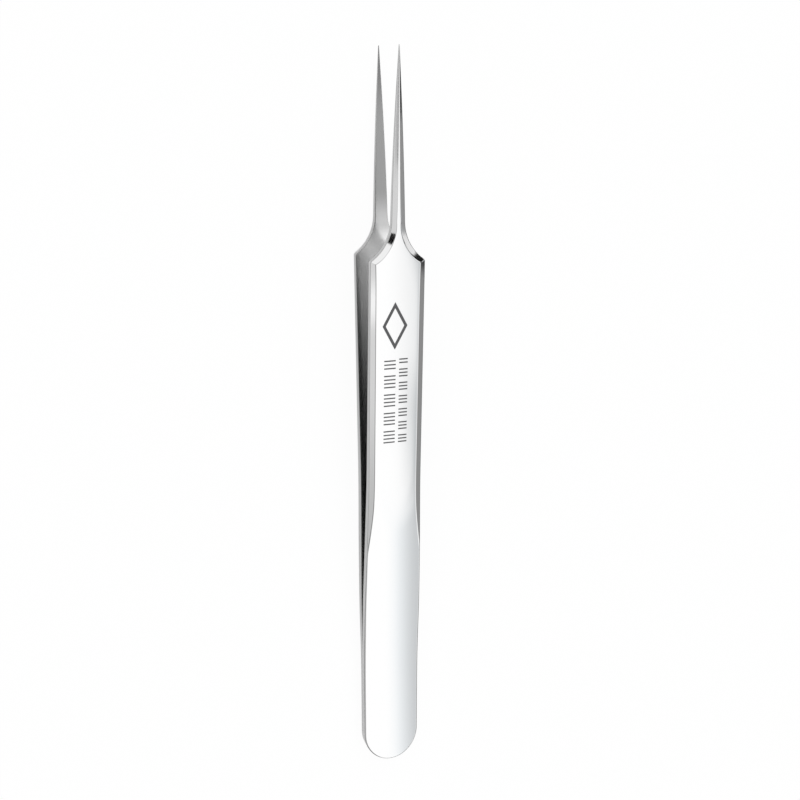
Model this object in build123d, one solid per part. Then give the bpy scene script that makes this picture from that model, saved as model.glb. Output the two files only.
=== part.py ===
from build123d import *
import os
from math import atan, degrees, sqrt

# Fine-pointed precision tweezers in polished stainless steel, sizes in millimetres.
# Two blades lie face to face at the heel, where they are welded, and spring apart in front of it.
# Each blade is drawn in the tweezers' own frame: X across, Y from heel to tips, Z away from the
# plane in which the blades meet. Both are then laid down as they rest, on the lower blade.

# Lengths along the blade, from the heel end
total_length = 110.0
fork_y = 19.8           # where the welded heel ends and the blades part
heel_bend_y = 18.3      # where the outer face starts to rise
bow_y = 46.0            # where that rise eases into the ground flat
point_length = 22.85    # the slender point in front of the shoulders
crest_setback = 3.1     # how far behind the point the ground flat ends
inner_setback = 5.5     # how far behind the point the inner face turns in a little

# Widths over the whole blade
heel_width = 8.88
waist_width = 8.02
shoulder_width = 7.93
root_width = 1.91       # the point where it leaves the shoulders
tip_width = 0.1

# The blade's outline
heel_round = 5.0        # length of the half-oval heel end
taper_y = 28.0
waist_y = 48.0
side_radius = 300.0
shoulder_radius = 6.5
corner_radius = 0.35
point_side_radius = 540.0

# Heights above the plane in which the blades meet
heel_thickness = 1.11
crest_height = 4.52
inner_bend_height = 3.29
tip_inner = 4.47
tip_thickness = 0.1

# Bends of the outer and inner faces
heel_bend_radius = 120.0
bow_radius = 360.0
crest_radius = 400.0
fork_radius = 15.0
inner_bend_radius = 900.0

# The outer face: a crowned back, a flat ground on it, and bevels along its edges
crown_radius = 48.0
grind_depth = 0.112     # how far the flat is ground below the top of the crown
bevel_width = 0.86
bevel_depth = 0.27
stock_depth = 4.0       # metal under the outer face before the inner face is cut
tip_bevel_depth = 0.01  # what is left of the bevel's depth at the tip
overrun = 2.0           # how far stock and cutters pass the ends of the blade

root_y = total_length - point_length
crest_y = root_y - crest_setback
inner_bend_y = root_y - inner_setback
tip_outer = tip_inner + tip_thickness
rest_slope = (crest_height - heel_thickness) / crest_y
rest_angle = degrees(atan(rest_slope))
bevel_angle = degrees(atan(bevel_depth / bevel_width))


def rest_height(y):
    """Height of the ground flat's plane, which also touches the heel end."""
    return heel_thickness + rest_slope * y


def past_tip(bend, tip_height):
    """The end of a face's last straight run, carried on past the tip."""
    slope = (tip_height - bend[1]) / (total_length - bend[0])
    return (total_length + overrun, tip_height + slope * overrun)


def point_side():
    """Right side of the slender point, from the shoulder to the tip."""
    return RadiusArc((root_width / 2, root_y), (tip_width / 2, total_length), -point_side_radius)


def shoulder_centre():
    """Centre of the hollow shoulder, whose arc runs on into the side of the point."""
    along = point_side() % 0
    return Vector(root_width / 2, root_y) + Vector(along.Y, -along.X) * shoulder_radius


def shoulder_corner():
    """Where the hollow shoulder meets the side of the blade."""
    centre = shoulder_centre()
    across = centre.X - shoulder_width / 2
    return Vector(shoulder_width / 2, centre.Y - sqrt(shoulder_radius**2 - across**2))


def outline():
    """The blade seen from above."""
    corner = shoulder_corner()
    heel = EllipticalCenterArc((0, heel_round), heel_width / 2, heel_round, -90, arc_size=90)
    side = FilletPolyline(
        (heel_width / 2, heel_round),
        (heel_width / 2, taper_y),
        (waist_width / 2, waist_y),
        corner,
        radius=side_radius,
    )
    shoulder = RadiusArc(corner, point_side() @ 0, shoulder_radius)
    tip_end = Line(point_side() @ 1, (0, total_length))
    spine = Line((0, total_length), (0, 0))
    half = make_face([heel, side, shoulder, point_side(), tip_end, spine])
    whole = half + mirror(half, about=Plane.YZ)
    corners = [v for v in whole.vertices() if abs(v.Y - corner.Y) < corner_radius]
    return fillet(corners, corner_radius)


def outer_profile():
    """The top of the crown along the blade, seen from the side."""
    bow = (bow_y, rest_height(bow_y) + grind_depth)
    crest = (crest_y, crest_height + grind_depth)
    return FilletPolyline(
        (-overrun, heel_thickness),
        (heel_bend_y, heel_thickness),
        bow,
        crest,
        past_tip(crest, tip_outer),
        radius=[heel_bend_radius, bow_radius, crest_radius],
    )


def inner_gap():
    """All that lies between the blade's inner face and the other blade."""
    bend = (inner_bend_y, inner_bend_height)
    end = past_tip(bend, tip_inner)
    face = FilletPolyline(
        (-overrun, 0), (fork_y, 0), bend, end, radius=[fork_radius, inner_bend_radius]
    )
    floor = Polyline(end, (end[0], -stock_depth), (-overrun, -stock_depth), (-overrun, 0))
    return extrude(Plane.YZ * make_face([face, floor]), amount=heel_width, both=True)


def crowned_stock():
    """A bar with a crowned back, bent along the outer profile."""
    crown = Circle(crown_radius).moved(Pos(0, -crown_radius))
    section = crown & Rectangle(heel_width + 2 * overrun, 2 * stock_depth)
    start = Plane.XZ.offset(overrun) * Pos(0, heel_thickness) * section
    return sweep(start, path=Plane.YZ * outer_profile())


def on_rest_plane(x, y):
    """A place on the ground flat's plane, turned to lie in it."""
    return Pos(x, y, rest_height(y)) * Rot(rest_angle, 0, 0)


def above(location):
    """A block of air that stands on a grinding plane and runs forward from a place on it."""
    size = 2 * total_length
    return location * Box(size, size, size, align=(Align.CENTER, Align.MIN, Align.MIN))


def ground_flat():
    """What the flat takes off: all that stands above the plane of rest."""
    return above(on_rest_plane(0, 0))


def body_bevel():
    """What the long bevel takes off the right edge of the body, from the fork forward."""
    inner_edge = on_rest_plane(shoulder_width / 2 - bevel_width, fork_y)
    return above(inner_edge * Rot(0, bevel_angle, 0))


def shoulder_bevel_foot():
    """Centre of the shoulder's bevel, at the height of its outer edge."""
    centre = shoulder_centre()
    return on_rest_plane(centre.X, centre.Y) * Pos(0, 0, -bevel_depth)


def shoulder_bevel():
    """The same bevel carried round the hollow shoulder, as part of a cone."""
    reach = shoulder_width
    cone = Cone(
        shoulder_radius,
        shoulder_radius + reach,
        reach * bevel_depth / bevel_width,
        align=(Align.CENTER, Align.CENTER, Align.MIN),
    )
    return shoulder_bevel_foot() * cone


def point_bevel():
    """The bevel along the point, one plane from the last line of the shoulder's bevel to the tip."""
    along = point_side() % 0
    inward = Vector(-along.Y, along.X)
    foot = shoulder_bevel_foot()
    low = (foot * Pos(inward * shoulder_radius)).position
    high = (foot * Pos(inward * (shoulder_radius + bevel_width) + Vector(0, 0, bevel_depth))).position
    tip = Vector(tip_width / 2, total_length, tip_outer - tip_bevel_depth)
    return above(Plane(low, x_dir=low - high, z_dir=(low - high).cross(tip - low)).location)


def blade():
    """One blade, with its inner face down."""
    body = crowned_stock() & extrude(outline(), amount=2 * crest_height)
    body = body - inner_gap() - ground_flat()
    for cutter in (body_bevel(), shoulder_bevel(), point_bevel()):
        body = body - cutter - mirror(cutter, about=Plane.YZ)
    return body


def laid_down(piece):
    """Turned so that the lower blade's flat and heel end rest on the ground, and centred."""
    slope = Rot(rest_angle, 0, 0)
    rear = slope * Pos(0, 0, heel_thickness)
    front = slope * Pos(0, total_length, -tip_outer)
    middle = (rear.position.Y + front.position.Y) / 2
    return Pos(0, -middle, rear.position.Z) * slope * piece


upper_arm = blade()
lower_arm = mirror(upper_arm, about=Plane.XY)

os.makedirs("parts", exist_ok=True)
export_step(laid_down(upper_arm), "parts/upper_arm.step")
export_step(laid_down(lower_arm), "parts/lower_arm.step")
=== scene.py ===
from math import atan, atan2, cos, hypot, pi, radians, sin, sqrt

import bmesh
import bpy
from mathutils import Matrix, Vector


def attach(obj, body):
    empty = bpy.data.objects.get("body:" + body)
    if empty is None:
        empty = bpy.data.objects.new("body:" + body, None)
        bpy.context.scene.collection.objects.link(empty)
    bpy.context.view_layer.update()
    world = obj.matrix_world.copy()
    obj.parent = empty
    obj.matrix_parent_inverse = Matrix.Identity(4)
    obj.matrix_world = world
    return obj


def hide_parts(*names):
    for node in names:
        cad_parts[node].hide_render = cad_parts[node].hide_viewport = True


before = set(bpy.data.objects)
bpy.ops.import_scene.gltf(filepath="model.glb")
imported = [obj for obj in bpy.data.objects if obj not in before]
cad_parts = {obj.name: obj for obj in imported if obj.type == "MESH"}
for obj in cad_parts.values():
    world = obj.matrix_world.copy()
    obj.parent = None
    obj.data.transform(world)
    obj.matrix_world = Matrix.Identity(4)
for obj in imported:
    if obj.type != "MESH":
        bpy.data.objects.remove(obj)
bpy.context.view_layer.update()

# Sizes of a blade, in millimetres, in the tweezers' own frame:
# X across, Y from the heel to the tips, Z away from the plane in which the blades meet.
MM = 0.001

# Lengths along the blade, from the heel end
TOTAL_LENGTH = 110.0
FORK_Y = 19.8
HEEL_BEND_Y = 18.3
BOW_Y = 46.0
POINT_LENGTH = 22.85
CREST_SETBACK = 3.1
INNER_SETBACK = 5.5
ROOT_Y = TOTAL_LENGTH - POINT_LENGTH
CREST_Y = ROOT_Y - CREST_SETBACK
INNER_BEND_Y = ROOT_Y - INNER_SETBACK

# Half widths, and the outline
HEEL_HALF = 8.88 / 2
WAIST_HALF = 8.02 / 2
SHOULDER_HALF = 7.93 / 2
ROOT_HALF = 1.91 / 2
TIP_HALF = 0.1 / 2
HEEL_ROUND = 5.0
TAPER_Y = 28.0
WAIST_Y = 48.0
SIDE_RADIUS = 300.0
SHOULDER_RADIUS = 6.5
POINT_SIDE_RADIUS = 540.0

# Heights above the plane in which the blades meet, and the bends of both faces
HEEL_THICKNESS = 1.11
CREST_HEIGHT = 4.52
INNER_BEND_HEIGHT = 3.29
TIP_INNER = 4.47
TIP_THICKNESS = 0.1
TIP_OUTER = TIP_INNER + TIP_THICKNESS
HEEL_BEND_RADIUS = 120.0
BOW_RADIUS = 360.0
CREST_RADIUS = 400.0
FORK_RADIUS = 15.0
INNER_BEND_RADIUS = 900.0

# The crowned back, the flat ground on it, and the bevels
CROWN_RADIUS = 48.0
GRIND_DEPTH = 0.112
BEVEL_WIDTH = 0.86
BEVEL_DEPTH = 0.27
BEVEL_SLOPE = BEVEL_DEPTH / BEVEL_WIDTH
TIP_BEVEL_DEPTH = 0.01

# How the tweezers lie: on the lower blade's ground flat and heel end
REST_SLOPE = (CREST_HEIGHT - HEEL_THICKNESS) / CREST_Y
REST_ANGLE = atan(REST_SLOPE)
REAR_HEIGHT = HEEL_THICKNESS * cos(REST_ANGLE)
MIDDLE_Y = TOTAL_LENGTH / 2 * cos(REST_ANGLE) + (TIP_OUTER - HEEL_THICKNESS) / 2 * sin(REST_ANGLE)


def laid_down(x, y, z):
    """A point of the tweezers' own frame, in metres in the row's frame, where they lie on a blade."""
    lift = REAR_HEIGHT + y * sin(REST_ANGLE) + z * cos(REST_ANGLE)
    along = y * cos(REST_ANGLE) - z * sin(REST_ANGLE) - MIDDLE_Y
    return Vector((x, along, lift)) * MM


def turned(x, y, z):
    """A direction of the tweezers' own frame, in the row's frame."""
    return laid_down(x, y, z) / MM - laid_down(0, 0, 0) / MM


def smooth_step(low, high, value):
    """0 below low, 1 above high and a smooth rise between."""
    t = min(max((value - low) / (high - low), 0), 1)
    return t * t * (3 - 2 * t)


def spread(start, end, count):
    """Count values from start up to, but without, end."""
    return [start + (end - start) * i / count for i in range(count)]


def add_object(name, data):
    """A mesh or a camera as an object of the scene."""
    added = bpy.data.objects.new(name, data)
    bpy.context.scene.collection.objects.link(added)
    return added


def finished_mesh(bm, name):
    """What was built, as a mesh."""
    mesh = bpy.data.meshes.new(name)
    bm.to_mesh(mesh)
    bm.free()
    return mesh


# Camera

CAMERA_AZIMUTH = radians(17.7255)
CAMERA_ELEVATION = radians(18.1877)
CAMERA_DISTANCE = 166.801
CAMERA_ROLL = 0.0012
AIM_Y = 55.0
PHOTO_SIDE = 800
AXIS_PIXEL = (389.0028, 436.1824)   # where the camera's axis meets the picture
PIXELS_PER_MM = 6.7205
SENSOR = 36.0
CLIP_START = 0.01
CLIP_END = 10


def make_camera():
    """The photograph's view: from the left of the blades, beyond the middle, looking down on them."""
    across_cos, across_sin = cos(CAMERA_AZIMUTH), sin(CAMERA_AZIMUTH)
    raised_cos, raised_sin = cos(CAMERA_ELEVATION), sin(CAMERA_ELEVATION)
    roll_cos, roll_sin = cos(CAMERA_ROLL), sin(CAMERA_ROLL)
    right = turned(across_cos, 0, across_sin)
    up = turned(across_sin * raised_sin, raised_cos, -across_cos * raised_sin)
    back = turned(-across_sin * raised_cos, raised_sin, across_cos * raised_cos)
    rolled_right = right * roll_cos - up * roll_sin
    rolled_up = right * roll_sin + up * roll_cos
    data = bpy.data.cameras.new("camera")
    data.sensor_width = SENSOR
    data.lens = PIXELS_PER_MM * CAMERA_DISTANCE * SENSOR / PHOTO_SIDE
    data.shift_x = (PHOTO_SIDE / 2 - AXIS_PIXEL[0]) / PHOTO_SIDE
    data.shift_y = (AXIS_PIXEL[1] - PHOTO_SIDE / 2) / PHOTO_SIDE
    data.clip_start = CLIP_START
    data.clip_end = CLIP_END
    camera = add_object("camera", data)
    turn = Matrix((rolled_right, rolled_up, back)).transposed().to_4x4()
    place = laid_down(0, AIM_Y, 0) + back * CAMERA_DISTANCE * MM
    camera.matrix_world = Matrix.Translation(place) @ turn
    bpy.context.scene.camera = camera


# Form of a blade

FLAT_CROWN = 260.0        # radius: polishing leaves the ground flat very slightly crowned
HALVINGS = 30             # steps of the search for the bevel's edge

# How far faces are polished round into each other, as a height
FLAT_SOFTNESS = 0.06      # where the ground flat meets the crown
MITRE_SOFTNESS = 0.004    # where two bevels meet
EDGE_SOFTNESS = 0.03      # along the bevels' inner edges, on the body
POINT_SOFTNESS = 0.006    # along the same edges, on the point
SOFTNESS_FADE = 8.0       # the length over which the one turns into the other
CORNER_BLEND = 0.4        # at the shoulder's corner, seen from above

# The point's curved sides, and the hollow shoulder that runs into them
BULGE = POINT_LENGTH**2 / (8 * POINT_SIDE_RADIUS)
ROOT_SLOPE = (TIP_HALF - ROOT_HALF + 4 * BULGE) / POINT_LENGTH
SHOULDER_CENTRE = (ROOT_HALF + SHOULDER_RADIUS, ROOT_Y - ROOT_SLOPE * SHOULDER_RADIUS)
CORNER_Y = SHOULDER_CENTRE[1] - sqrt(SHOULDER_RADIUS**2 - (SHOULDER_CENTRE[0] - SHOULDER_HALF) ** 2)


def bent(y, points, radii):
    """Height at y of straight runs joined by arcs of the given radii."""
    slopes = [(z1 - z0) / (y1 - y0) for (y0, z0), (y1, z1) in zip(points, points[1:])]
    height = points[0][1] + slopes[0] * (y - points[0][0])
    for (at, _), before, after, radius in zip(points[1:], slopes, slopes[1:], radii):
        turn = after - before
        reach = radius * abs(turn) / 2
        if y >= at + reach:
            height += turn * (y - at)
        elif y > at - reach:
            height += turn * (y - at + reach) ** 2 / (4 * reach)
    return height


def softer_min(a, b, blend):
    """The lower of two heights, rounded where they cross."""
    share = max(blend - abs(a - b), 0) / blend
    return min(a, b) - share * share * blend / 4


def rest_height(y):
    """Height of the ground flat's plane."""
    return HEEL_THICKNESS + REST_SLOPE * y


def top_height(y):
    """Height of the top of the crown."""
    points = [
        (0, HEEL_THICKNESS),
        (HEEL_BEND_Y, HEEL_THICKNESS),
        (BOW_Y, rest_height(BOW_Y) + GRIND_DEPTH),
        (CREST_Y, CREST_HEIGHT + GRIND_DEPTH),
        (TOTAL_LENGTH, TIP_OUTER),
    ]
    return bent(y, points, [HEEL_BEND_RADIUS, BOW_RADIUS, CREST_RADIUS])


def inner_height(y):
    """Height of the inner face."""
    points = [(0, 0), (FORK_Y, 0), (INNER_BEND_Y, INNER_BEND_HEIGHT), (TOTAL_LENGTH, TIP_INNER)]
    return bent(y, points, [FORK_RADIUS, INNER_BEND_RADIUS])


def half_width(y):
    """Half the blade's width at y, from the end of the heel's rounding to the tip."""
    if y >= ROOT_Y:
        t = (y - ROOT_Y) / POINT_LENGTH
        return ROOT_HALF + (TIP_HALF - ROOT_HALF) * t + 4 * BULGE * t * (1 - t)
    points = [(0, HEEL_HALF), (TAPER_Y, HEEL_HALF), (WAIST_Y, WAIST_HALF), (CORNER_Y, SHOULDER_HALF)]
    side = bent(y, points, [SIDE_RADIUS, SIDE_RADIUS])
    below = SHOULDER_CENTRE[1] - y
    if below >= SHOULDER_RADIUS:
        return side
    hollow = SHOULDER_CENTRE[0] - sqrt(SHOULDER_RADIUS**2 - below**2)
    return softer_min(side, hollow, CORNER_BLEND)


# The point's bevel: its height at the root's edge, and its slope towards the tip
POINT_LOW = rest_height(ROOT_Y) - BEVEL_DEPTH
POINT_RISE = (TIP_OUTER - TIP_BEVEL_DEPTH - POINT_LOW - BEVEL_SLOPE * (ROOT_HALF - TIP_HALF)) / POINT_LENGTH


def bevel_height(x, y):
    """Height of the bevels at x, y: one along the body, one round the shoulder, one along the point."""
    body = rest_height(y) - BEVEL_SLOPE * (x - SHOULDER_HALF + BEVEL_WIDTH)
    if y < ROOT_Y:
        off = hypot(SHOULDER_CENTRE[0] - x, SHOULDER_CENTRE[1] - y) - SHOULDER_RADIUS
        front = rest_height(y) - BEVEL_DEPTH + BEVEL_SLOPE * off
    else:
        front = POINT_LOW - BEVEL_SLOPE * (x - ROOT_HALF) + POINT_RISE * (y - ROOT_Y)
    return softer_min(body, front, MITRE_SOFTNESS)


def back_height(x, y):
    """Height of the crowned back with the flat ground on it, without the bevels."""
    crown = top_height(y) - x * x / (2 * CROWN_RADIUS)
    flat = rest_height(y) - x * x / (2 * FLAT_CROWN)
    return softer_min(crown, flat, FLAT_SOFTNESS)


def softness(y):
    """How far the bevels' inner edges are polished round, less along the slender point."""
    t = min(max((y - CORNER_Y) / SOFTNESS_FADE, 0), 1)
    return EDGE_SOFTNESS + (POINT_SOFTNESS - EDGE_SOFTNESS) * t


def outer_height(x, y):
    """Height of the finished outer face, which has its bevels in front of the fork."""
    back = back_height(x, y)
    if y <= FORK_Y:
        return back
    return softer_min(back, bevel_height(x, y), softness(y))


def bevel_start(y, half):
    """Where the bevel leaves the back, across the blade at y."""
    if y < FORK_Y or bevel_height(half, y) >= back_height(half, y):
        return half
    if bevel_height(0, y) <= back_height(0, y):
        return 0.0
    low, high = 0.0, half
    for _ in range(HALVINGS):
        middle = (low + high) / 2
        if bevel_height(middle, y) > back_height(middle, y):
            low = middle
        else:
            high = middle
    return low


# Mesh of a blade: rings across it, from the middle of the outer face round to the middle of the inner

BACK_COLUMNS = 10
CREASE_COLUMNS = 6
BEVEL_COLUMNS = 7
ROUND_STEPS = 5
SIDE_STEPS = 3
INNER_COLUMNS = 6
CREASE_LIMIT = 0.9        # the bevel's inner edge stays within this share of the outer face
CREASE_SHARE = 0.45       # its columns take at most this share of the back and of the bevel

# Rounding of the blade's edges, and the shares of the half width and the thickness that limit it
OUTER_ROUND = 0.09
HEEL_OUTER_ROUND = 0.2
OUTER_LIMITS = (0.35, 0.4)
INNER_ROUND = 0.06
INNER_LIMITS = (0.3, 0.35)
INNER_ROUND_FADE = (FORK_Y - 1, FORK_Y + 4)
TIP_ROUND = 0.05
TIP_END_SHARE = 0.02      # what is left of the tip's size at its very end

# Rings along the blade: closer round the shoulder, and closest at its corner
HEEL_FAN = 40             # rings round half of the heel's end
BODY_STEP = 0.4
SHOULDER_STEP = 0.12
SHOULDER_ZONE = (CORNER_Y - 3, ROOT_Y + 1)
CORNER_STEP = 0.05
CORNER_REACH = 1.2        # how far from the corner the rings are closest
TIP_STEPS = 5             # rings round the tip's end
SLOPE_STEP = 0.01         # half of the length over which the side's slope is measured
SLOPE_END = TOTAL_LENGTH - 1    # in front of this the sides count as straight

# Clean-up of the mesh: two distances in metres, and the angle above which an edge stays sharp
MERGE_DISTANCE = 2e-7
SPLINTER_SIZE = 1e-7
SHARP_ANGLE = radians(50)

# Places of the two finishes in an arm's list of materials
OUTER_FINISH, INNER_FINISH = 0, 1


def columns(y, reach, inset):
    """Distances from the centre line at which the outer face is sampled, up to the rounding of its edge."""
    edge = reach - inset
    crease = min(bevel_start(y, reach), edge * CREASE_LIMIT)
    zone = min(softness(y) / BEVEL_SLOPE, crease * CREASE_SHARE, (edge - crease) * CREASE_SHARE)
    parts = spread(0, crease - zone, BACK_COLUMNS)
    parts += spread(crease - zone, crease + zone, CREASE_COLUMNS)
    return parts + spread(crease + zone, edge, BEVEL_COLUMNS)


def edge_rounds(y, reach, thickness):
    """Radii of the edge's rounding on the outer and on the inner side."""
    heel_share = 1 - smooth_step(FORK_Y, WAIST_Y, y)
    outer = OUTER_ROUND + (HEEL_OUTER_ROUND - OUTER_ROUND) * heel_share
    outer = min(outer, reach * OUTER_LIMITS[0], thickness * OUTER_LIMITS[1])
    inner = min(INNER_ROUND, reach * INNER_LIMITS[0], thickness * INNER_LIMITS[1])
    return outer, inner * smooth_step(*INNER_ROUND_FADE, y)


def on_outer(x, y):
    """A place on the outer face."""
    return x, y, outer_height(x, y)


def over_inner(x, y, lift=0.0):
    """A place on the inner face, or lifted off it into the blade."""
    return x, y, inner_height(y) + lift


def half_ring(reach, place, stretch, y):
    """Half a ring round the blade: (x, y, z) from the outer face's middle to the inner face's.

    place turns a distance from the centre line into x and y, and stretch is how much
    longer the edge's rounding looks along that line."""
    thickness = outer_height(*place(reach)) - inner_height(place(reach)[1])
    outer_round, inner_round = edge_rounds(y, reach, thickness)
    inset = outer_round * stretch
    ring = [on_outer(*place(s)) for s in columns(y, reach, inset)]
    top = outer_height(*place(reach - inset))
    drop = atan2(top - outer_height(*place(reach)), inset)
    for i in range(ROUND_STEPS + 1):
        angle = drop + (pi / 2 - drop) * i / ROUND_STEPS
        s = reach - inset + inset * (sin(angle) - sin(drop)) / (1 - sin(drop))
        ring.append((*place(s), top - outer_round * (cos(drop) - cos(angle))))
    foot = inner_height(place(reach)[1]) + inner_round
    for z in spread(ring[-1][2], foot, SIDE_STEPS)[1:]:
        ring.append((*place(reach), z))
    for i in range(ROUND_STEPS + 1):
        angle = pi / 2 * i / ROUND_STEPS
        s = reach - inner_round * stretch * (1 - cos(angle))
        ring.append(over_inner(*place(s), inner_round * (1 - sin(angle))))
    start = reach - inner_round * stretch
    for s in spread(start, 0, INNER_COLUMNS)[1:] + [0]:
        ring.append(over_inner(*place(s)))
    return ring


def heel_rings():
    """Rings fanned out round the heel's half-oval end."""
    rings = []
    for i in range(HEEL_FAN):
        angle = pi / 2 * (1 - i / HEEL_FAN)
        px, py = HEEL_HALF * cos(angle), -HEEL_ROUND * sin(angle)
        reach = hypot(px, py)
        normal = Vector((px / HEEL_HALF**2, py / HEEL_ROUND**2)).normalized()
        stretch = 1 / Vector((px, py)).normalized().dot(normal)

        def place(s, ux=px / reach, uy=py / reach):
            return s * ux, HEEL_ROUND + s * uy

        rings.append(half_ring(reach, place, stretch, HEEL_ROUND))
    return rings


def ring_step(y):
    """How far in front of y the next ring lies."""
    if abs(y - CORNER_Y) < CORNER_REACH:
        return CORNER_STEP
    if SHOULDER_ZONE[0] < y < SHOULDER_ZONE[1]:
        return SHOULDER_STEP
    return BODY_STEP


def stations():
    """Places along the blade at which rings are made, the last ones round the tip's end."""
    places = []
    y = HEEL_ROUND
    while y < TOTAL_LENGTH - TIP_ROUND:
        places.append(y)
        y += ring_step(y)
    for i in range(TIP_STEPS + 1):
        places.append(TOTAL_LENGTH - TIP_ROUND * (1 - sin(pi / 2 * i / TIP_STEPS)))
    return places


def side_slope(y):
    """How fast the blade widens at y."""
    if y >= SLOPE_END:
        return 0
    return (half_width(y + SLOPE_STEP) - half_width(y - SLOPE_STEP)) / (2 * SLOPE_STEP)


def body_rings():
    """Rings straight across the blade, from the heel's rounding to the tip, which shrink round its end."""
    rings = []
    for y in stations():
        slope = side_slope(y)
        ring = half_ring(half_width(y), lambda s: (s, y), sqrt(1 + slope * slope), y)
        over = max(y - TOTAL_LENGTH + TIP_ROUND, 0) / TIP_ROUND
        shrink = sqrt(max(1 - over * over, TIP_END_SHARE**2))
        core = (outer_height(0, y) + inner_height(y)) / 2
        rings.append([(px * shrink, py, core + (z - core) * shrink) for px, py, z in ring])
    return rings


def blade_mesh(name, flip):
    """A blade as a closed mesh, the upper one or, with flip -1, the lower."""
    bm = bmesh.new()
    rings = heel_rings() + body_rings()
    inner_start = len(rings[0]) - 1 - INNER_COLUMNS
    for side in (1, -1):
        order = -side * flip
        rows = [[bm.verts.new(laid_down(side * x, y, flip * z)) for x, y, z in ring] for ring in rings]
        for near, far in zip(rows, rows[1:]):
            for i, corners in enumerate(zip(near, near[1:], far[1:], far)):
                face = bm.faces.new(corners[::order])
                face.material_index = INNER_FINISH if i >= inner_start else OUTER_FINISH
        bm.faces.new(rows[-1][::order])
    bmesh.ops.remove_doubles(bm, verts=bm.verts, dist=MERGE_DISTANCE)
    bmesh.ops.dissolve_degenerate(bm, edges=bm.edges, dist=SPLINTER_SIZE)
    bmesh.ops.recalc_face_normals(bm, faces=bm.faces)
    for edge in bm.edges:
        edge.smooth = not (edge.is_manifold and edge.calc_face_angle(0) > SHARP_ANGLE)
    for face in bm.faces:
        face.smooth = True
    return finished_mesh(bm, name)


# Etched mark: plain shapes on the flat of the front blade

MARK_LIFT = 0.004
MARK_STEP = 0.3
SIGN_MIDDLE = (-0.38, 72.6)
SIGN_REACH = (1.6, 3.0)
SIGN_STROKE = 0.42
DASH_STROKE = 0.2
DASH_FOOT = 55.2
DASH_HEAD = 68.2
# For each column: the ends of its dashes, the step between them, and how many stand in a group
DASH_COLUMNS = [((-1.92, -0.2), 0.56, 4), ((0.3, 1.6), 0.5, 3)]


def on_flat(bm, point):
    """A vertex just above the front blade's outer face."""
    x, y = point
    return bm.verts.new(laid_down(x, y, outer_height(x, y) + MARK_LIFT))


def both_sides(points, stroke):
    """Pairs of places beside a closed line, or beside a straight one between two points."""
    closed = len(points) > 2
    steps = [(Vector(b) - Vector(a)).normalized() for a, b in zip(points, points[1:] + points[:1])]
    pairs = []
    for i, point in enumerate(points):
        behind, ahead = (steps[i - 1], steps[i]) if closed else (steps[0], steps[0])
        mean = (ahead + behind).normalized()
        across = Vector((-mean.y, mean.x)) * stroke / 2 / mean.dot(ahead)
        pairs.append((Vector(point) - across, Vector(point) + across))
    return pairs + pairs[:1] if closed else pairs


def ribbon(bm, points, stroke):
    """A band of even width that lies on the front blade."""
    pairs = both_sides(points, stroke)
    for (a0, a1), (b0, b1) in zip(pairs, pairs[1:]):
        count = max(1, round((b0 - a0).length / MARK_STEP))
        rungs = []
        for i in range(count + 1):
            rungs.append([on_flat(bm, a.lerp(b, i / count)) for a, b in ((a0, b0), (a1, b1))])
        for near, far in zip(rungs, rungs[1:]):
            bm.faces.new((near[0], far[0], far[1], near[1]))


def etched_mark():
    """A tall open diamond and two columns of dashes."""
    bm = bmesh.new()
    (x, y), (half, tall) = SIGN_MIDDLE, SIGN_REACH
    ribbon(bm, [(x - half, y), (x, y - tall), (x + half, y), (x, y + tall)], SIGN_STROKE)
    for (left, right), pitch, group in DASH_COLUMNS:
        for i in range(int((DASH_HEAD - DASH_FOOT) / pitch)):
            if i % (group + 1) < group:
                at = DASH_FOOT + i * pitch
                ribbon(bm, [(left, at), (right, at)], DASH_STROKE)
    bmesh.ops.recalc_face_normals(bm, faces=bm.faces)
    return finished_mesh(bm, "etched_mark")


# Shader nodes


def ramp(tree, value, start, end, low=0.0, high=1.0):
    """A smooth ramp from low at start to high at end."""
    step = tree.nodes.new("ShaderNodeMapRange")
    step.interpolation_type = "SMOOTHSTEP"
    step.inputs["From Min"].default_value = start
    step.inputs["From Max"].default_value = end
    step.inputs["To Min"].default_value = low
    step.inputs["To Max"].default_value = high
    tree.links.new(value, step.inputs["Value"])
    return step.outputs["Result"]


def combined(tree, operation, a, b):
    """Two values put together by a mathematical operation."""
    node = tree.nodes.new("ShaderNodeMath")
    node.operation = operation
    tree.links.new(a, node.inputs[0])
    tree.links.new(b, node.inputs[1])
    return node.outputs[0]


def blended(tree, factor, below, above):
    """Two colours mixed by a factor; each is a colour or a socket."""
    mix = tree.nodes.new("ShaderNodeMix")
    mix.data_type = "RGBA"
    sockets = [i for i in mix.inputs if i.type == "RGBA"]
    tree.links.new(factor, mix.inputs[0])
    for socket, colour in zip(sockets, (below, above)):
        if isinstance(colour, tuple):
            socket.default_value = (*colour, 1)
        else:
            tree.links.new(colour, socket)
    return [o for o in mix.outputs if o.type == "RGBA"][0]


def grey(level):
    """A neutral colour."""
    return (level, level, level)


def new_material(name):
    """A new material, its node tree and its shader."""
    material = bpy.data.materials.new(name)
    material.use_nodes = True
    tree = material.node_tree
    return material, tree, tree.nodes["Principled BSDF"]


# Materials of the tweezers

POLISHED_GREY = 0.8
POLISHED_ROUGHNESS = (0.03, 0.08)
GROUND_ROUGHNESS = (0.12, 0.20)
# Places along the blade's inner face, and its grey there: painted light and shade, lightest from 81 to 84
# mm and darkest towards the tips, standing in for how bright the faces' reflections of each other look
GROUND_PAINTED_SHADE = [
    (58.0, 0.60),
    (81.0, 0.77),
    (83.8, 0.77),
    (86.0, 0.50),
    (91.0, 0.29),
    (100.0, 0.29),
    (108.0, 0.18),
]
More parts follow.
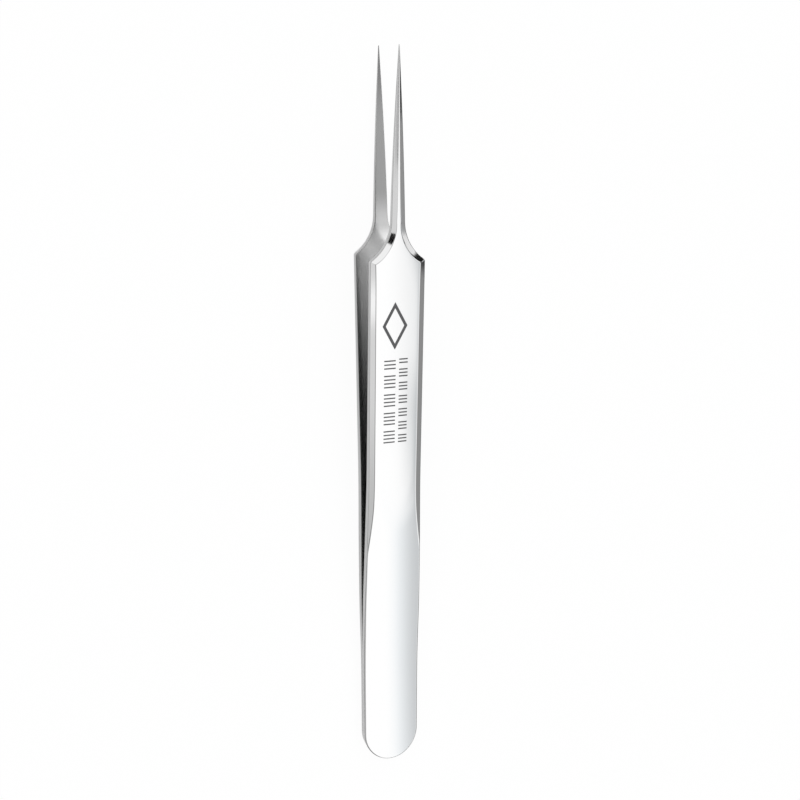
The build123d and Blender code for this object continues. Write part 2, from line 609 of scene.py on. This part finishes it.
# How finely the polishing lines change across, along and through the blade
LINES_PER_METRE = (9000, 250, 9000)
LINE_DETAIL = 4.0
ETCHED_COLOUR = (0.155, 0.155, 0.16)
ETCHED_ROUGHNESS = 0.7
ETCHED_SPECULAR = 0.2


def steel(name, roughness):
    """Stainless steel with fine polishing lines along the blade."""
    material, tree, shader = new_material(name)
    shader.inputs["Metallic"].default_value = 1.0
    shader.inputs["Base Color"].default_value = (*grey(POLISHED_GREY), 1)
    place = tree.nodes.new("ShaderNodeTexCoord")
    stretch = tree.nodes.new("ShaderNodeMapping")
    stretch.inputs["Scale"].default_value = LINES_PER_METRE
    lines = tree.nodes.new("ShaderNodeTexNoise")
    lines.inputs["Scale"].default_value = 1.0
    lines.inputs["Detail"].default_value = LINE_DETAIL
    shine = tree.nodes.new("ShaderNodeMapRange")
    shine.inputs["To Min"].default_value, shine.inputs["To Max"].default_value = roughness
    tree.links.new(place.outputs["Object"], stretch.inputs["Vector"])
    tree.links.new(stretch.outputs["Vector"], lines.inputs["Vector"])
    tree.links.new(lines.outputs["Fac"], shine.inputs["Value"])
    tree.links.new(shine.outputs["Result"], shader.inputs["Roughness"])
    return material


def paint_shade_along(material, painted_shades):
    """Painted light and shade: greys that change along the blade, in place of the material's own colour."""
    tree = material.node_tree
    place = tree.nodes.new("ShaderNodeTexCoord")
    parts = tree.nodes.new("ShaderNodeSeparateXYZ")
    tree.links.new(place.outputs["Object"], parts.inputs[0])
    colour = grey(painted_shades[0][1])
    for (start, _), (end, level) in zip(painted_shades, painted_shades[1:]):
        reach = ramp(tree, parts.outputs[1], laid_down(0, start, 0).y, laid_down(0, end, 0).y)
        colour = blended(tree, reach, colour, grey(level))
    tree.links.new(colour, tree.nodes["Principled BSDF"].inputs["Base Color"])


def etched_grey():
    """The dull grey of a mark etched into steel."""
    material, _, shader = new_material("etched_grey")
    shader.inputs["Base Color"].default_value = (*ETCHED_COLOUR, 1)
    shader.inputs["Roughness"].default_value = ETCHED_ROUGHNESS
    shader.inputs["Specular IOR Level"].default_value = ETCHED_SPECULAR
    return material


# Floor

FLOOR_REACH = 1.5
FLOOR_GREY = 0.88
FLOOR_FAR = 0.03                    # the grey round the paper, as the steel mirrors it
FLOOR_ROUGHNESS = 0.9
FLOOR_GLOW = 1.04
GLOW_SHARE = 0.9                    # how much of the floor's light is glow, to the camera
PAPER_SHARE = 0.22                  # the same for the paper, as the steel mirrors it
PAPER_SIDE = (10 * MM, 30 * MM)     # where the paper fades out beside the tweezers
PAPER_END = (61 * MM, 80 * MM)      # where it fades out beyond their ends


def floor_material():
    """White to the camera, with the shadow kept. In reflections it is white paper with dark round it."""
    material, tree, shader = new_material("pale_floor")
    shader.inputs["Roughness"].default_value = FLOOR_ROUGHNESS
    shader.inputs["Specular IOR Level"].default_value = 0.0
    rays = tree.nodes.new("ShaderNodeLightPath")
    place = tree.nodes.new("ShaderNodeTexCoord")
    size = tree.nodes.new("ShaderNodeVectorMath")
    size.operation = "ABSOLUTE"
    parts = tree.nodes.new("ShaderNodeSeparateXYZ")
    tree.links.new(place.outputs["Object"], size.inputs[0])
    tree.links.new(size.outputs[0], parts.inputs[0])
    beside = ramp(tree, parts.outputs[0], *PAPER_SIDE)
    beyond = ramp(tree, parts.outputs[1], *PAPER_END)
    outside = combined(tree, "MAXIMUM", beside, beyond)
    off_paper = combined(tree, "MULTIPLY", outside, rays.outputs["Is Glossy Ray"])
    paper = blended(tree, off_paper, grey(FLOOR_GREY), grey(FLOOR_FAR))
    tree.links.new(paper, shader.inputs["Base Color"])
    seen = ramp(tree, rays.outputs["Is Camera Ray"], 0.0, 1.0, 0.0, GLOW_SHARE)
    on_paper = ramp(tree, off_paper, 0.0, 1.0, PAPER_SHARE, 0.0)
    mirrored = combined(tree, "MULTIPLY", rays.outputs["Is Glossy Ray"], on_paper)
    glow = tree.nodes.new("ShaderNodeEmission")
    glow.inputs["Strength"].default_value = FLOOR_GLOW
    mix = tree.nodes.new("ShaderNodeMixShader")
    tree.links.new(combined(tree, "MAXIMUM", seen, mirrored), mix.inputs[0])
    tree.links.new(shader.outputs[0], mix.inputs[1])
    tree.links.new(glow.outputs[0], mix.inputs[2])
    tree.links.new(mix.outputs[0], tree.nodes["Material Output"].inputs["Surface"])
    return material


def make_floor():
    """The table that the tweezers lie on."""
    bm = bmesh.new()
    bmesh.ops.create_grid(bm, x_segments=1, y_segments=1, size=FLOOR_REACH)
    floor = add_object("floor", finished_mesh(bm, "floor"))
    floor.data.materials.append(floor_material())


# Studio

# Cards and flags that hang round the tweezers, each named by what it does. A direction is given
# by its X and Y parts: the range that the card fills, how soft its edges are, and its brightness.
# A card hangs in front of those before it, and one whose name ends in cool has a tint.
CARDS = [
    ("left_fall", (-1.0, -0.2), (-1.0, -0.43), 0.05, 0.62),
    ("left_glint", (-0.5, -0.2), (-0.325, -0.295), 0.012, 1.15),
    ("centre_shade", (-0.2, 0.03), (-1.0, -0.02), 0.03, 0.3),
    ("main_light", (0.05, 0.62), (-1.0, -0.072), 0.02, 1.25),
    ("heel_cool", (0.28, 1.0), (-1.0, -0.5), 0.06, 1.13),
    ("main_cool", (0.356, 1.0), (-1.0, -0.072), 0.08, 0.73),
    ("waist_cool", (0.325, 1.0), (-0.47, -0.37), 0.03, 0.72),
    ("edge_light", (0.48, 0.62), (-1.0, -0.2), 0.03, 1.2),
    ("far_light", (0.1, 0.5), (0.075, 1.0), 0.02, 1.3),
    ("tip_light", (0.1, 0.72), (-0.16, 0.09), 0.02, 1.2),
    ("left_light", (-0.24, 0.02), (-0.01, 0.5), 0.015, 1.08),
    ("shoulder_line", (0.04, 0.16), (-0.1, 0.5), 0.02, 0.2),
    ("right_grey", (0.64, 1.0), (-1.0, -0.19), 0.05, 0.4),
    ("right_shade", (0.7, 1.0), (-1.0, -0.19), 0.012, 0.32),
    ("right_flag", (0.77, 1.0), (-0.252, -0.236), 0.006, 0.02),
    ("right_glint", (0.71, 0.787), (-0.12, 0.1), 0.008, 0.95),
    ("far_shade", (0.787, 1.0), (-0.2, -0.06), 0.008, 0.33),
    ("tip_shade", (0.787, 1.0), (-0.06, 0.1), 0.008, 0.09),
    ("far_flag", (0.56, 0.698), (-0.25, 0.26), 0.012, 0.015),
    ("corner_flag", (0.66, 0.752), (-0.26, -0.03), 0.012, 0.015),
    ("left_flag", (-0.284, -0.225), (-0.11, 0.005), 0.006, 0.0),
]
COOL = (0.97, 1.0, 1.02)
STUDIO_PALE = 0.8
HORIZON = (0.36, 0.44)
HORIZON_SHADE = 0.04


def card_mask(tree, axes, ranges, soft):
    """1 inside the card and 0 outside it, with soft edges."""
    masks = []
    for axis, (low, high) in zip(axes, ranges):
        if low > -1:
            masks.append(ramp(tree, axis, low - soft, low + soft))
        if high < 1:
            masks.append(ramp(tree, axis, high - soft, high + soft, 1.0, 0.0))
    product = masks[0]
    for mask in masks[1:]:
        product = combined(tree, "MULTIPLY", product, mask)
    return product


def make_world():
    """A pale studio with the cards in it and a dark surround, plain white to the camera."""
    world = bpy.data.worlds.new("studio")
    bpy.context.scene.world = world
    world.use_nodes = True
    tree = world.node_tree
    place = tree.nodes.new("ShaderNodeTexCoord")
    parts = tree.nodes.new("ShaderNodeSeparateXYZ")
    tree.links.new(place.outputs["Generated"], parts.inputs[0])
    light = grey(STUDIO_PALE)
    for name, across, along, soft, level in CARDS:
        tint = COOL if name.endswith("cool") else grey(1)
        colour = tuple(level * part for part in tint)
        mask = card_mask(tree, parts.outputs[:2], (across, along), soft)
        light = blended(tree, mask, light, colour)
    above_horizon = ramp(tree, parts.outputs[2], *HORIZON)
    light = blended(tree, above_horizon, grey(HORIZON_SHADE), light)
    rays = tree.nodes.new("ShaderNodeLightPath")
    seen = blended(tree, rays.outputs["Is Camera Ray"], light, grey(1.0))
    tree.links.new(seen, tree.nodes["Background"].inputs["Color"])


# The pieces


def make_arms():
    """Both arms, polished outside and ground inside, in place of the plain ones."""
    polished = steel("polished_steel", POLISHED_ROUGHNESS)
    ground = steel("ground_steel_painted_shade", GROUND_ROUGHNESS)
    # The ground inner faces get painted light and shade along the blade in their colour
    paint_shade_along(ground, GROUND_PAINTED_SHADE)
    for node, flip in (("upper_arm", 1), ("lower_arm", -1)):
        arm = add_object(node + "_polished", blade_mesh(node + "_polished", flip))
        arm.data.materials.append(polished)
        arm.data.materials.append(ground)
        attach(arm, "root")
        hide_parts(node)


def make_mark():
    """The etched mark on the front arm."""
    mark = add_object("etched_mark", etched_mark())
    mark.data.materials.append(etched_grey())
    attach(mark, "root")


bpy.context.scene.view_settings.view_transform = "Standard"
make_camera()
make_arms()
make_mark()
make_floor()
make_world()
